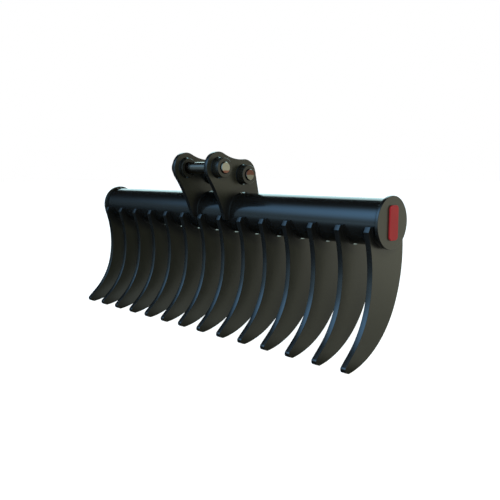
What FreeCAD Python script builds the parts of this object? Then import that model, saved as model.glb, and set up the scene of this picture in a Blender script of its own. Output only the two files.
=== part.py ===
import FreeCAD, Part
import math
import os
import Sketcher

# Excavator rake: curved plate tines welded under a round tube, hung by two ears and two hitch pins.
# Millimetres. The origin is the middle of the front hitch pin, between the ears.
# +X runs along the tube to the right-hand end, +Y to the back, +Z up. The tine tips point to -Y.

os.makedirs("parts", exist_ok=True)
doc = FreeCAD.newDocument("ExcavatorRake")
sheet = doc.addObject("Spreadsheet::Sheet", "Sizes")

# Driving sizes, each a name, a value and what it is. Lengths in millimetres, angles in degrees.
sizes = [
    ("tine_count", 14, "tines along the tube"),
    ("tine_pitch", 118, "from one tine's middle to the next"),
    ("tine_thickness", 20, "tine plate"),
    ("tube_diameter", 159, "outside of the tube"),
    ("tube_wall", 8, "wall of the tube"),
    ("tube_behind", 134.5, "tube axis behind the front pin"),
    ("tube_below", 180.5, "tube axis below the front pin"),
    ("end_reach", 35, "from the last tine's middle to the end cap's outer face"),
    ("cap_diameter", 178, "end cap disc"),
    ("cap_thickness", 12, "end cap plate"),
    ("edge_break", 1, "small chamfer on the turned and sawn edges"),
    ("fit_gap", 0.2, "gap between plates fitted together before welding"),
    ("weld_leg", 5, "leg of every fillet weld"),
    ("ear_gap", 178, "between the inner faces of the ears"),
    ("ear_thickness", 18, "ear plate"),
    ("lobe_radius", 62, "ear edge round each pin"),
    ("rear_lobe_back", 9, "centre of the rear lobe behind the rear pin"),
    ("saddle_radius", 200, "hollow between the two lobes"),
    ("ear_front_radius", 620, "hollow front edge of the ear"),
    ("ear_back_slope", 13, "lean of the ear's back edge from upright"),
    ("ear_foot_reach", 21.5, "ear's front toe ahead of the tube"),
    ("ear_foot_drop", 24, "ear's toes below the tube axis"),
    ("rear_pin_behind", 132, "rear pin behind the front pin"),
    ("rear_pin_below", 27.5, "rear pin below the front pin"),
    ("pin_diameter", 45, "hitch pins"),
    ("pin_play", 0.25, "clearance round the pin, on the radius"),
    ("pin_end_reach", 6, "pin beyond the boss at each end"),
    ("pin_chamfer", 2.5, "chamfer on the pin ends"),
    ("boss_diameter", 75, "boss round each pin"),
    ("boss_inner_reach", 15.5, "boss beyond the ear, towards the middle"),
    ("boss_outer_reach", 35, "boss beyond the ear, outwards"),
    ("bolt_diameter", 12, "cross bolt that keeps each pin in"),
    ("bolt_play", 0.5, "clearance round the cross bolt, on the radius"),
    ("bolt_head_flats", 19, "across the flats of head and nut"),
    ("bolt_head_height", 7.5, "hexagon head"),
    ("nut_height", 10.8, "hexagon nut"),
    ("bolt_end_reach", 3, "bolt beyond the nut"),
    ("spotface_diameter", 24, "flat for the bolt head and the nut"),
    ("spotface_depth", 2, "depth of that flat below the boss's crown"),
    ("horn_front_reach", 21, "tine's front horn ahead of the tube"),
    ("horn_rear_reach", 30, "tine's back edge behind the tube"),
    ("horn_top_drop", 10, "top of the horns below the tube axis"),
    ("horn_corner_drop", 27, "foot of the sloping horn face below the tube axis"),
    ("horn_slope_run", 9.5, "how far the sloping horn face runs back"),
    ("front_upper_radius", 420, "upper hollow of the tine's front edge"),
    ("front_upright_drop", 176, "where the front edge stands upright, below the tube axis"),
    ("front_join_angle", 11, "where the lower hollow takes over"),
    ("front_lower_radius", 288, "lower hollow of the front edge"),
    ("front_end_angle", 48, "where the front edge turns straight"),
    ("back_upper_radius", 432, "upper round of the tine's back edge"),
    ("back_upright_drop", 105, "where the back edge stands upright, below the tube axis"),
    ("back_join_angle", 25.5, "where the lower round takes over"),
    ("tip_straight", 47.5, "straight end of the front edge, as far as the nose"),
    ("tip_radius", 12, "rounded nose of the tip"),
    ("tip_cut_angle", 21.5, "slope of the blunt end below level"),
    ("tip_cut_length", 13, "blunt end from the nose to the heel"),
    ("badge_width", 50, "plain plate on the right-hand cap"),
    ("badge_height", 116, "height of that plate"),
    ("badge_thickness", 6, "thickness of that plate"),
    ("badge_corner", 14, "corner radius of that plate"),
]
for row, (alias, value, note) in enumerate(sizes, start=1):
    sheet.set(f"A{row}", note)
    sheet.set(f"B{row}", str(value))
    sheet.setAlias(f"B{row}", alias)
doc.recompute()


def size(alias):
    return float(sheet.get(alias))


def degrees(alias):
    return math.radians(size(alias))


X_AXIS = FreeCAD.Vector(1, 0, 0)
Z_AXIS = FreeCAD.Vector(0, 0, 1)
FULL_TURN = 360
HEXAGON_SIDES = 6
DOWN = -math.pi / 2
LEFT_RIGHT = (("left", -1), ("right", 1))

tube_radius = size("tube_diameter") / 2
notch_radius = tube_radius + size("fit_gap")
ear_inner = size("ear_gap") / 2
ear_outer = ear_inner + size("ear_thickness")
boss_radius = size("boss_diameter") / 2
tine_stations = [
    (number - (size("tine_count") - 1) / 2) * size("tine_pitch") for number in range(int(size("tine_count")))
]
cap_face = tine_stations[-1] + size("end_reach")
tube_half = cap_face - size("cap_thickness")
tube_centre = (size("tube_behind"), -size("tube_below"))
rear_pin_centre = (size("rear_pin_behind"), -size("rear_pin_below"))

# The same places as expressions on the sheet, for the objects that are bound to it.
TUBE_END = "(Sizes.tine_count - 1) / 2 * Sizes.tine_pitch + Sizes.end_reach - Sizes.cap_thickness"
BOSS_INNER = "Sizes.ear_gap / 2 - Sizes.boss_inner_reach"
BOSS_OUTER = "Sizes.ear_gap / 2 + Sizes.ear_thickness + Sizes.boss_outer_reach"
PIN_END = f"{BOSS_OUTER} + Sizes.pin_end_reach"
BOLT_STATION = "Sizes.ear_gap / 2 + Sizes.ear_thickness + Sizes.boss_outer_reach / 2"
SEAT = "Sizes.boss_diameter / 2 - Sizes.spotface_depth"
TUBE_OUT = "Sizes.tube_diameter / 2"
TUBE_AXIS = ("0", "Sizes.tube_behind", "-Sizes.tube_below")
PINS = {"front": ("0", "0"), "rear": ("Sizes.rear_pin_behind", "-Sizes.rear_pin_below")}

# Where the tine's arcs run into one another, below the tube axis, and the centre of its upper back round.
FRONT_JOIN = "Sizes.front_upright_drop + Sizes.front_upper_radius * sin(Sizes.front_join_angle)"
STRAIGHT_START = (
    "Sizes.front_upright_drop"
    " + (Sizes.front_upper_radius - Sizes.front_lower_radius) * sin(Sizes.front_join_angle)"
    " + Sizes.front_lower_radius * sin(Sizes.front_end_angle)"
)
BACK_JOIN = "Sizes.back_upright_drop + Sizes.back_upper_radius * sin(Sizes.back_join_angle)"
BACK_CENTRE = "Sizes.back_upper_radius - Sizes.tube_diameter / 2 - Sizes.horn_rear_reach"

parts = []


def keep(item, label):
    item.Label = label
    parts.append(item)
    return item


def place(item, x="0", y="0", z="0"):
    for axis, rule in zip("xyz", (x, y, z)):
        item.setExpression(f"Placement.Base.{axis}", rule)


def origin_plane(body, role):
    return next(plane for plane in body.Origin.OriginFeatures if plane.Role == role)


def new_sketch(body, name, role):
    sketch = body.newObject("Sketcher::SketchObject", name)
    sketch.AttachmentSupport = [(origin_plane(body, role), "")]
    sketch.MapMode = "FlatFace"
    return sketch


def bind(sketch, kind, ends, value, rule):
    index = sketch.addConstraint(Sketcher.Constraint(kind, *ends, value))
    sketch.setExpression(f"Constraints[{index}]", rule)


def turned(name, corners, placing):
    """A turned piece: each corner is a place along X and a radius, both expressions on the sheet."""
    body = doc.addObject("PartDesign::Body", name)
    sketch = new_sketch(body, f"{name}_section", "XY_Plane")
    points = [FreeCAD.Vector(*[float(sheet.evalExpression(rule)) for rule in corner]) for corner in corners]
    for start, end in zip(points, points[1:] + points[:1]):
        sketch.addGeometry(Part.LineSegment(start, end), False)
    for index, (point, (along, radius)) in enumerate(zip(points, corners)):
        before = (index - 1) % len(points)
        sketch.addConstraint(Sketcher.Constraint("Coincident", before, 2, index, 1))
        for kind, value, rule in (("DistanceX", point.x, along), ("DistanceY", point.y, radius)):
            if value:
                bind(sketch, kind, (-1, 1, index, 1), value, rule)
            else:
                line = -1 if kind == "DistanceY" else -2
                sketch.addConstraint(Sketcher.Constraint("PointOnObject", index, 1, line))
    spin = body.newObject("PartDesign::Revolution", f"{name}_turned")
    spin.Profile = sketch
    spin.ReferenceAxis = (sketch, ["H_Axis"])
    spin.Angle = FULL_TURN
    place(body, *placing)
    return body


class Outline:
    """A closed outline of lines and arcs, drawn in order and tied end to end in a sketch."""

    def __init__(self, sketch):
        self.sketch = sketch
        self.ends = []

    def line(self, start, end):
        index = self.sketch.addGeometry(Part.LineSegment(FreeCAD.Vector(*start), FreeCAD.Vector(*end)), False)
        self.ends.append((index, 1, 2))
        return index

    def arc(self, centre, radius, first, last):
        circle = Part.Circle(FreeCAD.Vector(*centre), Z_AXIS, radius)
        low, high = min(first, last), max(first, last)
        index = self.sketch.addGeometry(Part.ArcOfCircle(circle, low, high), False)
        self.ends.append((index, 1, 2) if first < last else (index, 2, 1))
        return index

    def close(self, smooth):
        """Ties each piece to the next; smooth lists the pieces that run on without a corner."""
        for step, (index, _, end) in enumerate(self.ends):
            follower, start, _ = self.ends[(step + 1) % len(self.ends)]
            kind = "Tangent" if index in smooth else "Coincident"
            self.sketch.addConstraint(Sketcher.Constraint(kind, index, end, follower, start))


def on_circle(centre, radius, angle):
    return (centre[0] + radius * math.cos(angle), centre[1] + radius * math.sin(angle))


def heading(start, end):
    return math.atan2(end[1] - start[1], end[0] - start[0])


def circles_meet(first, first_radius, second, second_radius, side):
    """The point at the given distances from two centres, on the left (1) or right (-1) of their line."""
    apart = math.dist(first, second)
    along = (apart**2 + first_radius**2 - second_radius**2) / (2 * apart)
    across = side * math.sqrt(first_radius**2 - along**2)
    way = heading(first, second)
    return on_circle(on_circle(first, along, way), across, way + math.pi / 2)


def lines_meet(first, first_way, second, second_way):
    gap = (second[0] - first[0], second[1] - first[1])
    turn = math.sin(second_way - first_way)
    along = (gap[0] * math.sin(second_way) - gap[1] * math.cos(second_way)) / turn
    return on_circle(first, along, first_way)


def main_tube():
    """The round tube, open at both ends until the caps close it."""
    left, bore = f"-({TUBE_END})", f"{TUBE_OUT} - Sizes.tube_wall"
    corners = [(left, bore), (TUBE_END, bore), (TUBE_END, TUBE_OUT), (left, TUBE_OUT)]
    keep(turned("tube", corners, TUBE_AXIS), "main_tube")


def end_cap(side, sign):
    """A disc welded over one end of the tube, proud of it all round."""
    way = "-" if sign < 0 else ""
    inner, outer, rim = TUBE_END, f"({TUBE_END}) + Sizes.cap_thickness", "Sizes.cap_diameter / 2"
    corners = [
        (inner, "0"),
        (outer, "0"),
        (outer, f"{rim} - Sizes.edge_break"),
        (f"{outer} - Sizes.edge_break", rim),
        (f"{inner} + Sizes.edge_break", rim),
        (inner, f"{rim} - Sizes.edge_break"),
    ]
    disc = turned(f"cap_{side}", [(f"{way}({along})", radius) for along, radius in corners], TUBE_AXIS)
    keep(disc, f"end_cap_{side}")


main_tube()
for side, sign in LEFT_RIGHT:
    end_cap(side, sign)


def tine_outline(sketch):
    """The side view of a tine, seen with +Y to the right and the tube's axis at the sketch's origin."""
    top, corner = -size("horn_top_drop"), -size("horn_corner_drop")
    front_y = -tube_radius - size("horn_front_reach")
    rear_y = tube_radius + size("horn_rear_reach")
    run = size("horn_slope_run")
    seat_angle = math.asin(size("horn_top_drop") / notch_radius)
    seat_y = notch_radius * math.cos(seat_angle)

    # Front edge: two hollows that run on into a straight.
    front_radius, low_radius = size("front_upper_radius"), size("front_lower_radius")
    front_start = math.asin((corner + size("front_upright_drop")) / front_radius)
    front_join, front_end = -degrees("front_join_angle"), -degrees("front_end_angle")
    front_centre = (front_y - front_radius * math.cos(front_start), -size("front_upright_drop"))
    low_centre = on_circle(front_centre, front_radius - low_radius, front_join)
    straight_start = on_circle(low_centre, low_radius, front_end)
    straight_way = front_end + DOWN

    # The tip: a rounded nose, then a short blunt end down to the heel.
    nose, cut_way = size("tip_radius"), -degrees("tip_cut_angle")
    nose_start = on_circle(straight_start, size("tip_straight"), straight_way)
    nose_centre = on_circle(nose_start, nose, straight_way - DOWN)
    nose_end = on_circle(nose_centre, nose, cut_way + DOWN)
    heel = on_circle(nose_end, size("tip_cut_length"), cut_way)

    # Back edge: an upper round from the rear horn, then the round that runs on from it to the heel.
    back_radius, back_join = size("back_upper_radius"), -degrees("back_join_angle")
    back_centre = (rear_y - back_radius, -size("back_upright_drop"))
    back_start = math.asin((corner - back_centre[1]) / back_radius)
    horn_back = on_circle(back_centre, back_radius, back_start)
    heel_apart = math.dist(back_centre, heel)
    heel_along = heel_apart * math.cos(heading(back_centre, heel) - back_join)
    heel_radius = (heel_apart**2 + back_radius**2 - 2 * back_radius * heel_along) / (
        2 * (back_radius - heel_along)
    )
    heel_centre = on_circle(back_centre, back_radius - heel_radius, back_join)
    heel_angle = heading(heel_centre, heel)

    draw = Outline(sketch)
    notch = draw.arc((0, 0), notch_radius, -seat_angle, -math.pi + seat_angle)
    front_ledge = draw.line((-seat_y, top), (front_y + run, top))
    front_slope = draw.line((front_y + run, top), (front_y, corner))
    upper = draw.arc(front_centre, front_radius, front_start, front_join)
    lower = draw.arc(low_centre, low_radius, front_join, front_end)
    straight = draw.line(straight_start, nose_start)
    tip = draw.arc(nose_centre, nose, straight_way + DOWN, cut_way + DOWN)
    cut = draw.line(nose_end, heel)
    low_back = draw.arc(heel_centre, heel_radius, heel_angle, back_join)
    high_back = draw.arc(back_centre, back_radius, back_join, back_start)
    rear_slope = draw.line(horn_back, (horn_back[0] - run, top))
    rear_ledge = draw.line((horn_back[0] - run, top), (seat_y, top))
    draw.close(smooth=(upper, lower, straight, tip, low_back))

    sketch.addConstraint(Sketcher.Constraint("Coincident", notch, 3, -1, 1))
    for level in (front_ledge, rear_ledge):
        sketch.addConstraint(Sketcher.Constraint("Horizontal", level))
    reach = f"{TUBE_OUT} + Sizes.horn_front_reach"
    bind(sketch, "Radius", (notch,), notch_radius, f"{TUBE_OUT} + Sizes.fit_gap")
    bind(sketch, "DistanceY", (front_ledge, 1, -1, 1), -top, "Sizes.horn_top_drop")
    bind(sketch, "DistanceY", (rear_ledge, 1, -1, 1), -top, "Sizes.horn_top_drop")
    bind(sketch, "DistanceX", (front_slope, 2, -1, 1), -front_y, reach)
    bind(sketch, "DistanceY", (front_slope, 2, -1, 1), -corner, "Sizes.horn_corner_drop")
    bind(sketch, "DistanceX", (front_slope, 2, front_slope, 1), run, "Sizes.horn_slope_run")
    bind(sketch, "DistanceX", (rear_slope, 2, rear_slope, 1), run, "Sizes.horn_slope_run")
    bind(sketch, "DistanceY", (rear_slope, 1, -1, 1), -corner, "Sizes.horn_corner_drop")
    bind(sketch, "Radius", (upper,), front_radius, "Sizes.front_upper_radius")
    bind(sketch, "DistanceY", (upper, 3, -1, 1), size("front_upright_drop"), "Sizes.front_upright_drop")
    bind(sketch, "Radius", (lower,), low_radius, "Sizes.front_lower_radius")
    bind(sketch, "Radius", (tip,), nose, "Sizes.tip_radius")
    bind(sketch, "Radius", (high_back,), back_radius, "Sizes.back_upper_radius")
    bind(sketch, "DistanceY", (high_back, 3, -1, 1), size("back_upright_drop"), "Sizes.back_upright_drop")
    bind(sketch, "Distance", (straight,), size("tip_straight"), "Sizes.tip_straight")
    bind(sketch, "Distance", (cut,), size("tip_cut_length"), "Sizes.tip_cut_length")
    bind(sketch, "Angle", (cut,), cut_way, "-Sizes.tip_cut_angle")
    bind(sketch, "DistanceX", (high_back, 3, -1, 1), -back_centre[0], BACK_CENTRE)
    front_join_z = on_circle(front_centre, front_radius, front_join)[1]
    back_join_z = on_circle(back_centre, back_radius, back_join)[1]
    bind(sketch, "DistanceY", (upper, 1, -1, 1), -front_join_z, FRONT_JOIN)
    bind(sketch, "DistanceY", (straight, 1, -1, 1), -straight_start[1], STRAIGHT_START)
    bind(sketch, "DistanceY", (high_back, 1, -1, 1), -back_join_z, BACK_JOIN)


def tine(number):
    """One plate tine, notched for the tube and set across it at its own station."""
    label = f"tine_{number:02d}"
    body = doc.addObject("PartDesign::Body", label)
    sketch = new_sketch(body, f"{label}_side", "YZ_Plane")
    tine_outline(sketch)
    plate = body.newObject("PartDesign::Pad", f"{label}_plate")
    plate.Profile = sketch
    plate.SideType = "Symmetric"
    plate.setExpression("Length", "Sizes.tine_thickness")
    station = f"({number} - (Sizes.tine_count + 1) / 2) * Sizes.tine_pitch"
    place(body, station, TUBE_AXIS[1], TUBE_AXIS[2])
    keep(body, label)


for number in range(1, int(size("tine_count")) + 1):
    tine(number)


def ear_outline(sketch):
    """The side view of an ear, seen with +Y to the right and the front pin at the sketch's origin."""
    tube, front_pin = tube_centre, (0.0, 0.0)
    rear_lobe = (rear_pin_centre[0] + size("rear_lobe_back"), rear_pin_centre[1])
    lobe, saddle, hollow = size("lobe_radius"), size("saddle_radius"), size("ear_front_radius")
    foot_z = tube[1] - size("ear_foot_drop")
    toe = (tube[0] - tube_radius - size("ear_foot_reach"), foot_z)
    foot_angle = math.asin(size("ear_foot_drop") / notch_radius)
    foot_y = notch_radius * math.cos(foot_angle)
    slope = degrees("ear_back_slope")

    saddle_centre = circles_meet(front_pin, lobe + saddle, rear_lobe, lobe + saddle, 1)
    hollow_centre = circles_meet(front_pin, lobe + hollow, toe, hollow, -1)
    front_low = heading(front_pin, hollow_centre)
    front_low += 2 * math.pi if front_low < 0 else 0
    front_high = heading(front_pin, saddle_centre)
    back_top = on_circle(rear_lobe, lobe, slope)
    heel = lines_meet(back_top, slope + DOWN, (tube[0], foot_z), 0.0)

    draw = Outline(sketch)
    front = draw.arc(hollow_centre, hollow, heading(hollow_centre, toe), front_low - math.pi)
    front_round = draw.arc(front_pin, lobe, front_low, front_high)
    dip = draw.arc(
        saddle_centre, saddle, front_high + math.pi, heading(saddle_centre, rear_lobe) + 2 * math.pi
    )
    rear_round = draw.arc(rear_lobe, lobe, heading(rear_lobe, saddle_centre), slope)
    back = draw.line(back_top, heel)
    rear_foot = draw.line(heel, (tube[0] + foot_y, foot_z))
    notch = draw.arc(tube, notch_radius, -foot_angle, math.pi + foot_angle)
    front_foot = draw.line((tube[0] - foot_y, foot_z), toe)
    draw.close(smooth=(front, front_round, dip, rear_round))

    sketch.addConstraint(Sketcher.Constraint("Coincident", front_round, 3, -1, 1))
    for level in (rear_foot, front_foot):
        sketch.addConstraint(Sketcher.Constraint("Horizontal", level))
    bind(sketch, "Radius", (notch,), notch_radius, f"{TUBE_OUT} + Sizes.fit_gap")
    bind(sketch, "DistanceX", (-1, 1, notch, 3), tube[0], "Sizes.tube_behind")
    bind(sketch, "DistanceY", (notch, 3, -1, 1), -tube[1], "Sizes.tube_below")
    bind(sketch, "Radius", (front_round,), lobe, "Sizes.lobe_radius")
    bind(sketch, "Radius", (rear_round,), lobe, "Sizes.lobe_radius")
    bind(sketch, "Radius", (dip,), saddle, "Sizes.saddle_radius")
    bind(sketch, "Radius", (front,), hollow, "Sizes.ear_front_radius")
    lobe_back = "Sizes.rear_pin_behind + Sizes.rear_lobe_back"
    bind(sketch, "DistanceX", (-1, 1, rear_round, 3), rear_lobe[0], lobe_back)
    bind(sketch, "DistanceY", (rear_round, 3, -1, 1), -rear_lobe[1], "Sizes.rear_pin_below")
    bind(sketch, "Angle", (back,), slope + DOWN, "Sizes.ear_back_slope - 90")
    bind(sketch, "DistanceY", (front_foot, 2, notch, 3), size("ear_foot_drop"), "Sizes.ear_foot_drop")
    bind(sketch, "DistanceY", (rear_foot, 1, notch, 3), size("ear_foot_drop"), "Sizes.ear_foot_drop")
    toe_reach = f"{TUBE_OUT} + Sizes.ear_foot_reach"
    bind(sketch, "DistanceX", (front_foot, 2, notch, 3), tube[0] - toe[0], toe_reach)


def ear_holes(sketch):
    """The two holes that the bosses are fitted in."""
    hole_radius = boss_radius + size("fit_gap")
    front, rear = [
        sketch.addGeometry(Part.Circle(FreeCAD.Vector(*centre), Z_AXIS, hole_radius), False)
        for centre in ((0, 0), rear_pin_centre)
    ]
    for hole in (front, rear):
        bind(sketch, "Radius", (hole,), hole_radius, "Sizes.boss_diameter / 2 + Sizes.fit_gap")
    sketch.addConstraint(Sketcher.Constraint("Coincident", front, 3, -1, 1))
    bind(sketch, "DistanceX", (-1, 1, rear, 3), rear_pin_centre[0], "Sizes.rear_pin_behind")
    bind(sketch, "DistanceY", (rear, 3, -1, 1), -rear_pin_centre[1], "Sizes.rear_pin_below")


def ear(side, sign):
    """One ear plate, notched for the tube and bored for its two bosses."""
    label = f"ear_{side}"
    body = doc.addObject("PartDesign::Body", label)
    outline = new_sketch(body, f"{label}_side", "YZ_Plane")
    ear_outline(outline)
    plate = body.newObject("PartDesign::Pad", f"{label}_plate")
    plate.Profile = outline
    plate.SideType = "Symmetric"
    plate.setExpression("Length", "Sizes.ear_thickness")
    holes = new_sketch(body, f"{label}_holes", "YZ_Plane")
    ear_holes(holes)
    bored = body.newObject("PartDesign::Pocket", f"{label}_bored")
    bored.Profile = holes
    bored.SideType = "Symmetric"
    bored.setExpression("Length", "2 * Sizes.ear_thickness")
    place(body, f"{sign} * (Sizes.ear_gap + Sizes.ear_thickness) / 2")
    keep(body, label)


for side, sign in LEFT_RIGHT:
    ear(side, sign)


def upright_cylinder(name, radius, low, high, placing):
    """A cylinder along Z from one height to another, all expressions on the sheet."""
    rod = doc.addObject("Part::Cylinder", name)
    rod.setExpression("Radius", radius)
    rod.setExpression("Height", f"({high}) - ({low})")
    place(rod, placing[0], placing[1], f"{placing[2]} + ({low})")
    return rod


def cut(base, tools, name):
    """The base less each tool in turn."""
    for index, tool in enumerate(tools):
        result = doc.addObject("Part::Cut", f"{name}_cut{index}")
        result.Base, result.Tool = base, tool
        base = result
    return base


def cross_bore(name, pin):
    """The hole across a left-hand boss and its pin for the bolt that keeps the pin in."""
    behind, height = PINS[pin]
    reach = "Sizes.boss_diameter"
    where = (f"-({BOLT_STATION})", behind, height)
    radius = "Sizes.bolt_diameter / 2 + Sizes.bolt_play"
    return upright_cylinder(f"{name}_bolt_bore", radius, f"-{reach}", reach, where)


def spotfaces(name, pin):
    """The flats on top of the boss and under it for the bolt's head and its nut."""
    behind, height = PINS[pin]
    where = (f"-({BOLT_STATION})", behind, height)
    radius = "Sizes.spotface_diameter / 2"
    top = upright_cylinder(f"{name}_flat_top", radius, SEAT, "Sizes.boss_diameter", where)
    under = upright_cylinder(f"{name}_flat_under", radius, "-Sizes.boss_diameter", f"-({SEAT})", where)
    return [top, under]


def boss(pin, side, sign):
    """A boss through the ear; the left-hand ones are bored across for the bolt that keeps the pin in."""
    label = f"boss_{pin}_{side}"
    behind, height = PINS[pin]
    way = "-" if sign < 0 else ""
    bore, rim = "Sizes.pin_diameter / 2 + Sizes.pin_play", "Sizes.boss_diameter / 2"
    corners = [
        (BOSS_INNER, f"{bore} + Sizes.edge_break"),
        (f"{BOSS_INNER} + Sizes.edge_break", bore),
        (f"{BOSS_OUTER} - Sizes.edge_break", bore),
        (BOSS_OUTER, f"{bore} + Sizes.edge_break"),
        (BOSS_OUTER, f"{rim} - Sizes.edge_break"),
        (f"{BOSS_OUTER} - Sizes.edge_break", rim),
        (f"{BOSS_INNER} + Sizes.edge_break", rim),
        (BOSS_INNER, f"{rim} - Sizes.edge_break"),
    ]
    placed = [(f"{way}({along})", radius) for along, radius in corners]
    ring = turned(f"{label}_ring", placed, ("0", behind, height))
    if side == "left":
        ring = cut(ring, [cross_bore(label, pin)] + spotfaces(label, pin), label)
    keep(ring, label)


def hitch_pin(pin):
    """A round pin through both ears, chamfered at its ends and bored across at its left-hand end."""
    label = f"hitch_pin_{pin}"
    behind, height = PINS[pin]
    radius, end = "Sizes.pin_diameter / 2", PIN_END
    corners = [
        (f"-({end})", "0"),
        (end, "0"),
        (end, f"{radius} - Sizes.pin_chamfer"),
        (f"{end} - Sizes.pin_chamfer", radius),
        (f"-({end} - Sizes.pin_chamfer)", radius),
        (f"-({end})", f"{radius} - Sizes.pin_chamfer"),
    ]
    bar = turned(f"{label}_bar", corners, ("0", behind, height))
    keep(cut(bar, [cross_bore(label, pin)], label), label)


def hexagon(name, low, tall, placing):
    """A hexagon block along Z, standing on the given height."""
    block = doc.addObject("Part::Prism", name)
    block.Polygon = HEXAGON_SIDES
    block.setExpression("Circumradius", f"Sizes.bolt_head_flats / 2 / cos({FULL_TURN / HEXAGON_SIDES / 2})")
    block.setExpression("Height", tall)
    place(block, placing[0], placing[1], f"{placing[2]} + ({low})")
    return block


def pin_fasteners(pin):
    """The cross bolt, head up on its flat, and its nut underneath."""
    behind, height = PINS[pin]
    where = (f"-({BOLT_STATION})", behind, height)
    shank_end = f"-({SEAT} + Sizes.nut_height + Sizes.bolt_end_reach)"
    head = hexagon(f"bolt_head_{pin}", SEAT, "Sizes.bolt_head_height", where)
    shank = upright_cylinder(f"bolt_shank_{pin}", "Sizes.bolt_diameter / 2", shank_end, SEAT, where)
    bolt = doc.addObject("Part::Fuse", f"bolt_{pin}")
    bolt.Base, bolt.Tool = head, shank
    keep(bolt, f"pin_bolt_{pin}")
    block = hexagon(f"nut_block_{pin}", f"-({SEAT} + Sizes.nut_height)", "Sizes.nut_height", where)
    threaded = upright_cylinder(
        f"nut_bore_{pin}", "Sizes.bolt_diameter / 2 + Sizes.fit_gap", "-Sizes.boss_diameter", "0", where
    )
    keep(cut(block, [threaded], f"nut_{pin}"), f"pin_nut_{pin}")


for pin in PINS:
    for side, sign in LEFT_RIGHT:
        boss(pin, side, sign)
    hitch_pin(pin)
    pin_fasteners(pin)


def badge():
    """A plain rounded plate, upright on the middle of the right-hand cap."""
    plate = doc.addObject("Part::Box", "badge_blank")
    for field, alias in (("Length", "badge_thickness"), ("Width", "badge_width"), ("Height", "badge_height")):
        plate.setExpression(field, f"Sizes.{alias}")
    cap_outer = f"({TUBE_END}) + Sizes.cap_thickness"
    middle, foot = "Sizes.tube_behind - Sizes.badge_width / 2", "-Sizes.tube_below - Sizes.badge_height / 2"
    place(plate, cap_outer, middle, foot)
    doc.recompute()
    rounded = doc.addObject("Part::Fillet", "badge_rounded")
    rounded.Base = plate
    rounded.Edges = [
        (index, size("badge_corner"), size("badge_corner"))
        for index, edge in enumerate(plate.Shape.Edges, start=1)
        if edge.BoundBox.XLength > size("badge_thickness") / 2
    ]
    doc.recompute()
    outer_face = cap_face + size("badge_thickness")
    bevel = doc.addObject("Part::Chamfer", "badge_bevelled")
    bevel.Base = rounded
    bevel.Edges = [
        (index, size("edge_break"), size("edge_break"))
        for index, edge in enumerate(rounded.Shape.Edges, start=1)
        if edge.BoundBox.XMin > outer_face - size("badge_thickness") / 2
    ]
    keep(bevel, "end_badge")


badge()


# Fillet welds, each a three-cornered ring or part of a ring swept about an axis along X.
def bead(centre, face_x, way, radius, first=0.0, last=2 * math.pi):
    """A bead in the corner between a round of the given radius and a face; way is its side of the face."""
    leg = size("weld_leg")
    corners = [(0, 0), (way * leg, 0), (0, leg)]
    points = [FreeCAD.Vector(face_x + across, centre[0], centre[1] + radius + up) for across, up in corners]
    section = Part.Face(Part.makePolygon(points + points[:1]))
    base = FreeCAD.Vector(face_x, *centre)
    section.rotate(base, X_AXIS, math.degrees(first + DOWN))
    return section.revolve(base, X_AXIS, math.degrees(last - first))


def welds(label, beads):
    """All the beads of one kind as one group of separate solids."""
    group = doc.addObject("Part::Feature", label)
    group.Shape = Part.makeCompound(beads)
    keep(group, label)


def plate_beads(middle, thickness, first, last):
    """The beads on both faces of a plate that stands across the tube."""
    return [
        bead(tube_centre, middle + way * thickness / 2, way, tube_radius, first, last)
        for way in (-1, 1)
    ]


def tine_welds():
    """Under the tube, from horn to horn."""
    horn = math.asin(size("horn_top_drop") / notch_radius)
    beads = [
        plate_beads(station, size("tine_thickness"), horn - math.pi, -horn) for station in tine_stations
    ]
    welds("tine_welds", sum(beads, []))


def ear_welds():
    """Over the tube, from toe to toe."""
    toe = math.asin(size("ear_foot_drop") / notch_radius)
    middle = (ear_inner + ear_outer) / 2
    beads = [
        plate_beads(sign * middle, size("ear_thickness"), -toe, math.pi + toe) for _, sign in LEFT_RIGHT
    ]
    welds("ear_welds", sum(beads, []))


def boss_welds():
    """Round each boss on both faces of its ear."""
    beads = [
        bead(centre, sign * face, sign * way, boss_radius)
        for centre in ((0, 0), rear_pin_centre)
        for _, sign in LEFT_RIGHT
        for face, way in ((ear_inner, -1), (ear_outer, 1))
    ]
    welds("boss_welds", beads)


def cap_welds():
    """Round the tube behind each end cap."""
    welds("cap_welds", [bead(tube_centre, sign * tube_half, -sign, tube_radius) for _, sign in LEFT_RIGHT])


tine_welds()
ear_welds()
boss_welds()
cap_welds()

doc.recompute()
for item in doc.Objects:
    if "Invalid" in item.State or "Error" in item.State:
        raise RuntimeError(f"{item.Label} did not recompute: {item.State}")
    if item.isDerivedFrom("Sketcher::SketchObject") and not item.FullyConstrained:
        raise RuntimeError(f"{item.Label} is not fully constrained")
for item in parts:
    if item.Shape.isNull() or not item.Shape.isValid() or not item.Shape.Solids:
        raise RuntimeError(f"{item.Label} has no sound solid")
for item in parts:
    item.Shape.exportStep(f"parts/{item.Label}.step")
    box = item.Shape.BoundBox
    print(
        f"{item.Label}: {len(item.Shape.Solids)} solid, {item.Shape.Volume / 1000:.1f} cm3,"
        f" x {box.XMin:.1f}..{box.XMax:.1f}, y {box.YMin:.1f}..{box.YMax:.1f}, z {box.ZMin:.1f}..{box.ZMax:.1f}"
    )
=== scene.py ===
import math

import bpy
import numpy as np
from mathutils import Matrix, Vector
from mathutils.geometry import delaunay_2d_cdt


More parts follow.
